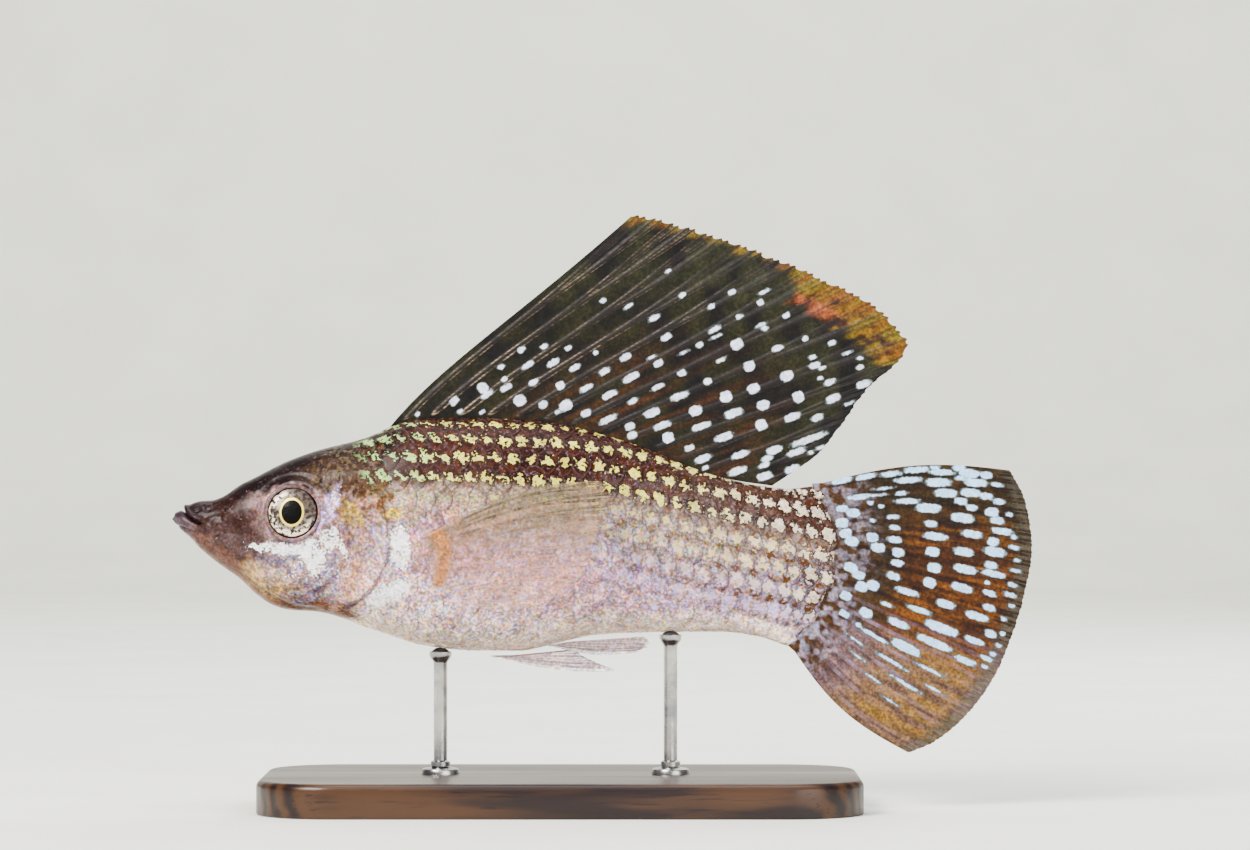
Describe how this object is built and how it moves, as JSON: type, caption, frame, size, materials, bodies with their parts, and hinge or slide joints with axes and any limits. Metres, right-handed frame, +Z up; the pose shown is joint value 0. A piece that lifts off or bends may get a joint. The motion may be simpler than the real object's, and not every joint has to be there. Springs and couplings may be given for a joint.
{
  "type": "fish model on stand",
  "caption": "Life-size male sailfin molly with raised dorsal sail and spread tail, a still display model held by rods on a flat wooden base.",
  "frame": {"origin": "bottom centre of the bounding box, on the surface that the stand's base lies on", "axes": "+X from the snout toward the tail, +Y toward the fish's right side, +Z up; the head looks toward -X"},
  "size_m": [0.101, 0.036, 0.0696],
  "materials": {
    "head_skin": "moist brown-mauve skin, silvery on the cheek",
    "body_skin": "glossy scales, red-brown back and silver-lavender flank",
    "eye": "clear polished dome over a silvery iris",
    "dorsal_membrane": "satin dark membrane with pale blue spots",
    "tail_membrane": "satin rust-brown membrane with pale blue spots",
    "pale_membrane": "satin mauve-white membrane",
    "clear_membrane": "thin translucent membrane",
    "stand_wood": "dark stained, satin lacquer",
    "stand_steel": "satin"
  },
  "bodies": {
    "root": {"head": "head_skin", "gill_cover_left": "head_skin", "gill_cover_right": "head_skin", "trunk": "body_skin", "tail_stalk": "body_skin", "eye_left": "eye", "eye_right": "eye", "dorsal_fin": "dorsal_membrane", "tail_fin": "tail_membrane", "anal_fin": "pale_membrane", "pelvic_fin_left": "pale_membrane", "pelvic_fin_right": "pale_membrane", "pectoral_fin_left": "clear_membrane", "pectoral_fin_right": "clear_membrane", "stand_base": "stand_wood", "stand_rod_front": "stand_steel", "stand_rod_rear": "stand_steel"}
  },
  "joints": []
}
